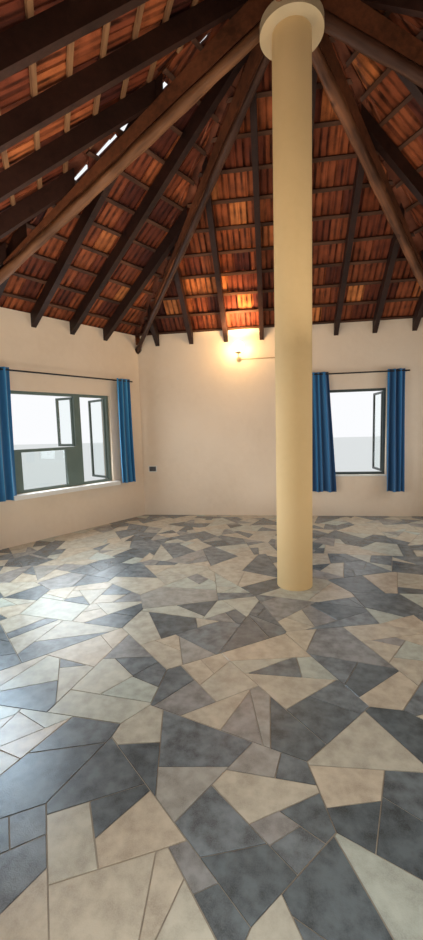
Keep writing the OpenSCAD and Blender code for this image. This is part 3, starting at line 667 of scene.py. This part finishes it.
def broken_up(shape, wanted, sizes):
    """Slabs as they break: a polygon is cut in two along a slanting line through its middle, and so are the
    halves, until each is smaller than its own wanted area or a cut would leave a splinter."""
    if area(shape) < wanted:
        return [shape]
    spread = shape - shape.mean(0)
    long_way = np.linalg.eigh(spread.T @ spread)[1][:, 1]
    turn, splinter = draw.normal(0, 0.42), 0.008
    normal = np.array([long_way[0] * math.cos(turn) - long_way[1] * math.sin(turn),
                       long_way[0] * math.sin(turn) + long_way[1] * math.cos(turn)])
    middle = shape.mean(0) + spread.std(0) * draw.normal(0, 0.28, 2)
    halves = [cut_by_line(shape, middle, normal), cut_by_line(shape, middle, -normal)]
    if min(len(h) for h in halves) < 3 or min(area(h) for h in halves) < splinter:
        return [shape]
    return [piece for h in halves for piece in broken_up(h, draw.choice(sizes), sizes)]


def shared_out(room, spacing):
    """A polygon shared out among scattered points: each takes what lies nearer to it than to its 21
    neighbours."""
    rows = np.arange(-4.5, 4.6, spacing)
    strewn = draw.uniform(-0.42, 0.42, (len(rows) ** 2, 2)) * spacing
    seeds = np.stack(np.meshgrid(rows, rows), -1).reshape(-1, 2) + strewn
    shares = []
    for seed in seeds:
        shape = room
        for other in seeds[np.argsort(np.linalg.norm(seeds - seed, axis=1))[1:22]]:
            if len(shape) > 2:
                shape = cut_by_line(shape, (seed + other) / 2, (other - seed) / np.linalg.norm(other - seed))
        if len(shape) > 2:
            shares.append(shape)
    return shares


def paving_cells():
    """The room's floor and the doorway's in angular slabs: large shares that are broken up further, each
    drawn in by half a joint."""
    sizes = [0.03, 0.05, 0.08, 0.12, 0.18]
    cells = [slab for share in shared_out(hexagon(-0.002), 0.80)
             for slab in broken_up(share, draw.choice(sizes), sizes)]
    cells += broken_up(doorway(), 0.1, [0.1])
    cells = [drawn_in(shape, draw.uniform(0.0015, 0.003)) for shape in cells]
    return [shape for shape in cells if len(shape) > 2]


def raised(shape, z):
    """A flat outline at a height."""
    return np.column_stack([shape, np.full(len(shape), z)])


def paving_stones():
    """Every stone is its outline, drawn in at the top edge, carried down to the joints."""
    points, sides, tops, tones, start = [], [], [], [], 0
    for shape in paving_cells():
        n = len(shape)
        level = FLOOR_Z + draw.uniform(-0.0012, 0.0)
        centre = shape.mean(0)
        inner = centre + (shape - centre) * 0.992
        points += [raised(shape, FLOOR_Z - 0.02), raised(shape, level - 0.002), raised(inner, level)]
        sides.append(start + grid_faces(3, n, closed=True))
        tops.append(start + np.arange(2 * n, 3 * n)[None])
        dark, middling, pale = draw.uniform(0, 0.4), draw.uniform(0.5, 0.62), draw.uniform(0.74, 1)
        tones.append(np.full(3 * n, draw.choice([dark, middling, pale], p=[0.40, 0.10, 0.50])))
        start += 3 * n
    return new_piece("paving_stones", np.concatenate(points), [np.concatenate(sides), *tops], paving, 30,
                     tone=np.concatenate(tones))


def paving_bed():
    """The joints' mortar: the room's outline and the doorway's, each carried up to just under the floor."""
    points, faces, start = [], [], 0
    for shape, top in ((hexagon(), FLOOR_Z - 0.004), (doorway(0.01), FLOOR_Z - 0.0045)):
        n = len(shape)
        bottom = np.arange(n)[None]
        points += [raised(shape, FLOOR_Z - 0.03), raised(shape, top)]
        faces += [start + grid_faces(2, n, closed=True), start + n + bottom, start + bottom[:, ::-1]]
        start += 2 * n
    return new_piece("paving_mortar", np.concatenate(points), faces, grout, 30)


fitted(paving_stones(), "floor_paving")
fitted(paving_bed(), "floor_paving")


# ---- plinth and door ----

def plinth_side(side, out):
    """Half the length of a side of the plinth and its distance from the axis, this far out from the wall."""
    return (wall_length(side) / 2 + (WALL_T + out) * math.tan(math.radians(30)),
            apothem(side) + WALL_T + out)


def plinth_stones():
    """The plinth's facing: on each of its six sides two courses of blocks of unequal length. A block is four
    corners carried outwards and drawn in a little at its face. The step is three larger ones."""
    blocks = []
    for side, azimuth in SIDES.items():
        half, face = plinth_side(side, PLINTH_OUT)
        for low, high in ((0.0, PLINTH_TOP / 2), (PLINTH_TOP / 2, PLINTH_TOP)):
            count = round(2 * half / 0.42)
            cuts = np.linspace(-half, half, count + 1)
            cuts[1:-1] += draw.uniform(-0.12, 0.12, count - 1)
            blocks += [(azimuth, a, b, low, high, face - 0.05, face) for a, b in zip(cuts[:-1], cuts[1:])]
    edge, third = NARROW_AP + WALL_T, 2 * STEP_HALF / 3
    blocks += [(SIDES["front"], a, a + third, 0.0, STEP_TOP, edge + 0.03, edge + STEP_OUT)
               for a in (-STEP_HALF, third - STEP_HALF, STEP_HALF - third)]
    azimuth, a, b, low, high, back, face = np.array(blocks).T
    joint, draw_in = 0.005, 0.011
    front = face - draw.uniform(0.0, 0.004, len(face))
    rings = []
    for gap, out in ((joint, back), (joint, face - 0.010), (draw_in, front)):
        # Only the upper course, which is higher than the step, has a joint over it
        left, right, bottom, top = a + gap, b - gap, low + gap, high - gap * (high > STEP_TOP)
        rings.append(np.stack([by_wall(azimuth, u, out, z) for u, z in
                               ((left, bottom), (left, top), (right, top), (right, bottom))], 1))
    faces = many(12, np.concatenate([grid_faces(3, 4, closed=True), [[8, 9, 10, 11]]]), len(face))
    return new_piece("plinth_stones", np.stack(rings, 1), [faces], facing_stone, 30,
                     tone=np.repeat(np.clip(draw.normal(0.5, 0.25, len(face)), 0, 1), 12))


def plinth_core():
    """The mass behind the facing stones, with its mortar showing between them: the plinth's outline, drawn in
    a little, carried up and closed."""
    points = []
    for z in (0.0, PLINTH_TOP):
        for side in reversed(SIDES):
            half, face = plinth_side(side, CORE_OUT)
            points.append(by_wall(SIDES[side], -half, face, z))
    k = np.arange(6)
    return new_piece("plinth_core", points, [grid_faces(2, 6, closed=True), np.array([k + 6, k[::-1]])],
                     plinth_stone, 30)


def plank_door():
    """The leaf: six upright planks on three ledges, and two hinge barrels. It is drawn flat, with its hinge
    at the corner of the leaf, and turned about the hinge."""
    wide, tall = 0.872, 2.046
    plank = wide / 6
    parts = [brick([i * plank + 0.0015, 0.002 + 0.001 * (i % 2), 0.0],
                   [(i + 1) * plank - 0.0015, 0.042, tall]) for i in range(6)]
    for z in (0.12, 0.5, 0.88):
        p, f, o = brick([0.06, 0.042, z * tall - 0.06], [wide - 0.06, 0.068, z * tall + 0.06])
        parts.append((p, f, o[:, [2, 1, 0]]))
    for z in (0.15, 0.85):
        parts.append(tube([[0, 0, z * tall + end] for end in (-0.05, 0.0, 0.05)], 0.012))
    p, f, o = joined(parts)
    # The hinge is beside the frame's bar, and the leaf stands 105 degrees open
    hinge_u, hinge_out = 0.062 - DOOR_HALF, NARROW_AP + WALL_T / 2 - 0.055 - 0.012
    turn = math.radians(-105)
    x = p[:, 0] * math.cos(turn) - p[:, 1] * math.sin(turn) + hinge_u
    y = p[:, 0] * math.sin(turn) + p[:, 1] * math.cos(turn) + hinge_out
    return new_piece("plank_door", by_wall(SIDES["front"], x, y, p[:, 2] + FLOOR_Z + 0.008), f, door_wood, 30,
                     own=o)


fitted(plinth_stones(), "plinth")
fitted(plinth_core(), "plinth")
fitted(plank_door(), "door_leaf")


# ---- curtains ----

def curtain(name, side, low_u, high_u, hem, spread, painted_daylight):
    """A gathered cloth: across its width it goes in and out of the rod in folds, which are tighter at the
    top than at the hem and wander as they fall. Spread pushes the hem's edge further along the wall, and
    painted daylight lifts all of it towards the painted highlight of the turned-out folds."""
    width, fold_w = high_u - low_u, 0.088
    folds = max(3, round(width / fold_w))
    across = np.linspace(0, 1, folds * 20)[None, :]
    fall = np.linspace(0, 1, 46)[:, None]
    shift = draw.uniform(0, 2 * math.pi, 5)
    phase = 2 * math.pi * folds * (across + 0.042 * np.sin(7 * across + shift[0]) * (0.4 + fall)
                                   + 0.020 * np.sin(13 * across + shift[1] + 2.1 * fall))
    depth = (0.023 + 0.013 * fall) * (0.82 + 0.40 * np.sin(7.1 * across * width / 0.3 + shift[2]
                                                           + 1.2 * fall))
    wave = np.sin(phase)
    out = apothem(side) - ROD_OUT - depth * wave + 0.006 * np.sin(3 * fall + shift[3])
    drift = 0.010 * np.sin(2.2 * fall + shift[4]) * fall + spread * fall * across
    u = (low_u + across * width * (0.985 + 0.03 * fall) + drift
         + 0.35 * depth * np.cos(phase) * (0.4 + 0.6 * fall))
    top = ROD_Z + 0.034
    drop = top - FLOOR_Z - hem
    points = by_wall(SIDES[side], u, out, top - fall * drop + 0.006 * np.sin(phase / 2) * fall)
    # The fold attribute carries painted light: high where the folds turn out, low in their hollows
    cloth = new_piece(name, points, [grid_faces(*u.shape)[:, ::-1]], cotton, 180,
                      fold=(0.35 + 0.3 * painted_daylight + 0.29 * wave + 0.06 * np.sin(9 * across + shift[0])).ravel())
    fitted(cloth, "curtains")


for side in SIDES:
    if side == "front":
        continue
    rod_half, hem = (0.817, 0.42) if side in WIDE_SIDES else (1.24, 0.64)
    # The back left window's curtains are painted lighter all over, as painted daylight on them
    painted_daylight = 1.0 if side == "back_left" else 0.0
    left, right = window_u(side) - rod_half + 0.065, window_u(side) + rod_half
    drawn, spread = {"back": (0.35, 0.11), "back_left": (0.38, -0.03)}.get(side, (0.265, 0.0))
    curtain(f"curtain_{side}_left", side, left, left + drawn, hem, spread, painted_daylight)
    curtain(f"curtain_{side}_right", side, right - 0.33, right - 0.065, hem, 0.0, painted_daylight)


# ---- lamp and switch, on the back wall ----

LAMP_U, LAMP_Z = -0.734, FLOOR_Z + 2.64
ARM_Y, GLOBE_Z, GLOBE_R = WIDE_AP - 0.13, LAMP_Z + 0.10 + 0.085, 0.100
SWITCH = -2.30, FLOOR_Z + 0.825


def ball(centre, radius):
    """A sphere from rings of one latitude each."""
    tilt = np.linspace(-math.pi / 2 + 0.02, math.pi / 2 - 0.02, 20)
    path = np.asarray(centre) + np.stack([0 * tilt, 0 * tilt, radius * np.sin(tilt)], -1)
    return tube(path, radius * np.cos(tilt), 28)


def plate(u, z, half_u, half_z, back, face):
    """A box round a place on the wall, from half its width and height to how far its back and its face stand
    out from the wall."""
    return brick([u - half_u, WIDE_AP - face, z - half_z], [u + half_u, WIDE_AP - back, z + half_z])


def fitting(name, finish, smooth_below, *parts):
    """A piece of the wall's fittings, from its parts."""
    points, faces, _ = joined(parts)
    fitted(new_piece(name, points, faces, finish, smooth_below), "wall_fittings")


# The arm goes out from the wall, bends up and carries the globe in a cup
bend = np.linspace(0, math.pi / 2, 9)
arm = by_wall(0, LAMP_U, np.r_[WIDE_AP - 0.002, ARM_Y + 0.045 - 0.045 * np.sin(bend), ARM_Y],
              np.r_[LAMP_Z, LAMP_Z + 0.045 - 0.045 * np.cos(bend), GLOBE_Z - 0.105])
fitting("lamp_bracket", bracket_metal, 40, tube(arm, 0.008, 12),
        tube(by_wall(0, LAMP_U, WIDE_AP - np.array([0.0, 0.012, 0.018]), LAMP_Z), [0.045, 0.045, 0.036], 28),
        tube(by_wall(0, LAMP_U, ARM_Y, GLOBE_Z - np.array([0.115, 0.105, 0.085])), [0.016, 0.040, 0.055], 24))
fitting("lamp_globe", opal, 60, ball([LAMP_U, ARM_Y, GLOBE_Z], GLOBE_R))
fitting("lamp_conduit", conduit_plastic, 40,
        tube(by_wall(0, LAMP_U + np.array([0.04, 0.88]), WIDE_AP - 0.007, LAMP_Z), 0.007, 10),
        plate(LAMP_U + 0.905, LAMP_Z, 0.035, 0.035, 0.0, 0.03))
fitting("switch_surround", switch_pale, 40, plate(*SWITCH, 0.075, 0.055, 0.0, 0.009))
fitting("switch_plate", switch_dark, 40, plate(*SWITCH, 0.06, 0.042, 0.008, 0.014),
        plate(*SWITCH, 0.02, 0.02, 0.013, 0.018))


# ---- ground, light and camera ----

new_piece("stage_ground", [[-60, -60, 0], [60, -60, 0], [60, 60, 0], [-60, 60, 0]],
                   [np.array([[0, 1, 2, 3]])],
                   plain("pale ground", 0.95, {"Base Color": (0.82, 0.83, 0.81, 1)}))

scene = bpy.context.scene
scene.view_settings.view_transform = "Standard"

# A dim sky lights the hut, and a white one is seen past it, in reflections and through glass
world = bpy.data.worlds.new("sky")
scene.world = world
world.use_nodes = True
sky = world.node_tree
dim = sky.nodes["Background"]
feed(dim, {"Color": (0.90, 0.95, 1.0, 1), "Strength": 0.55})
white = node(sky, "Background", {"Color": (0.97, 0.98, 1.0, 1), "Strength": 1.0})
rays = node(sky, "LightPath").outputs
seen = node(sky, "Math", {0: rays["Is Camera Ray"], 1: rays["Is Glossy Ray"]}, operation="MAXIMUM")
seen = node(sky, "Math", {0: seen.outputs[0], 1: rays["Is Transmission Ray"]}, operation="MAXIMUM")
pick = node(sky, "MixShader", {"Fac": seen.outputs[0], 1: dim.outputs[0], 2: white.outputs[0]})
feed(sky.nodes["World Output"], {"Surface": pick.outputs[0]})


def lamp(name, kind, power, place, aim, size=1.0, size_y=None, colour=(1, 1, 1)):
    """A light at a place that shines towards another."""
    light = bpy.data.lights.new(name, kind)
    light.energy = power
    light.color = colour
    if kind == "AREA":
        light.shape = "RECTANGLE"
        light.size, light.size_y = size, size_y or size
    elif kind == "SUN":
        light.angle = size
    else:
        light.shadow_soft_size = size
    lit = bpy.data.objects.new(name, light)
    bpy.context.scene.collection.objects.link(lit)
    way = np.asarray(aim, float) - np.asarray(place, float)
    lit.location = place
    lit.rotation_euler = (math.atan2(math.hypot(way[0], way[1]), -way[2]), 0, math.atan2(-way[0], way[1]))
    lit.visible_camera = lit.visible_glossy = False
    return lit


# Daylight at the openings and what floor, roof and globe throw back, set against the photograph
lamp("sun", "SUN", 1.6, (6, -9, 12), (0, 0, 0), 0.2)
lamp("day in the doorway", "AREA", 29, (0.0, -3.62, 1.4), (0, 1, 3.0), 0.9, 1.9, (0.87, 0.95, 1.0))
for side, power in (("back", 12), ("back_left", 29), ("back_right", 34), ("front_left", 14),
                    ("front_right", 20)):
    place = by_wall(SIDES[side], window_u(side), apothem(side) + 0.03, 1.69)
    aim = by_wall(SIDES[side], window_u(side), 0.0, 1.55)
    width = 0.9 if side in WIDE_SIDES else 1.5
    colour = (0.82, 0.92, 1.0) if "back" in side else (1.0, 0.93, 0.82)
    lit = lamp(f"day at the {side} window", "AREA", power, place, aim, width, 1.3, colour)
    lit.visible_glossy = side == "back_left"
for x, y, power in ((-1.9, -0.4, 20), (1.9, -0.4, 12), (0.0, -2.0, 5), (0.0, 1.9, 6)):
    lamp("light thrown up by the floor", "AREA", power, (x, y, 0.36), (x, y, 5), 1.3,
         colour=(1.0, 0.93, 0.84))
for x, y, power in ((-2.0, -1.0, 34), (0.9, -1.2, 20)):
    lamp("light under the roof", "AREA", power, (x, y, 2.5), (x, y, 6), 1.4, colour=(1.0, 0.90, 0.76))
lamp("globe light", "POINT", 18, (LAMP_U, ARM_Y - 0.40, GLOBE_Z + 0.05), (0, 0, 0), 0.10,
     colour=(1.0, 0.64, 0.30))
lamp("globe light thrown up", "AREA", 25, (LAMP_U, ARM_Y - 0.20, GLOBE_Z + 0.16), (LAMP_U, ARM_Y - 0.35, 6),
     0.24, colour=(1.0, 0.66, 0.34))
lamp("day that falls in on the left", "AREA", 46, by_wall(-120, 1.0, WIDE_AP - 0.20, 1.75), (-1.5, -0.9, 0.3),
     0.9, 1.1, (0.62, 0.82, 1.0)).visible_glossy = True
for right, up in ((-0.125, 0.0), (0.125, 0.0), (0.0, 0.125), (-0.09, -0.09), (0.09, -0.09)):
    lamp("glow round the globe", "POINT", 1.5, (LAMP_U + right, ARM_Y, GLOBE_Z + up), (0, 0, 0), 0.02,
         colour=(1.0, 0.72, 0.36))

# The lens, the place and the turn were fitted to lines measured in the photograph
view = bpy.data.cameras.new("camera")
view.lens, view.sensor_width = 15.35, 36
view.clip_start = 0.02
camera = bpy.data.objects.new("camera", view)
scene.collection.objects.link(camera)
turn = (Matrix.Rotation(math.radians(8.8), 3, "Z") @ Matrix.Rotation(math.radians(90 - 5.84), 3, "X")
        @ Matrix.Rotation(-0.027, 3, "Z"))
camera.location = (-0.192, -3.781, 1.800)
camera.rotation_euler = turn.to_euler()
scene.camera = camera
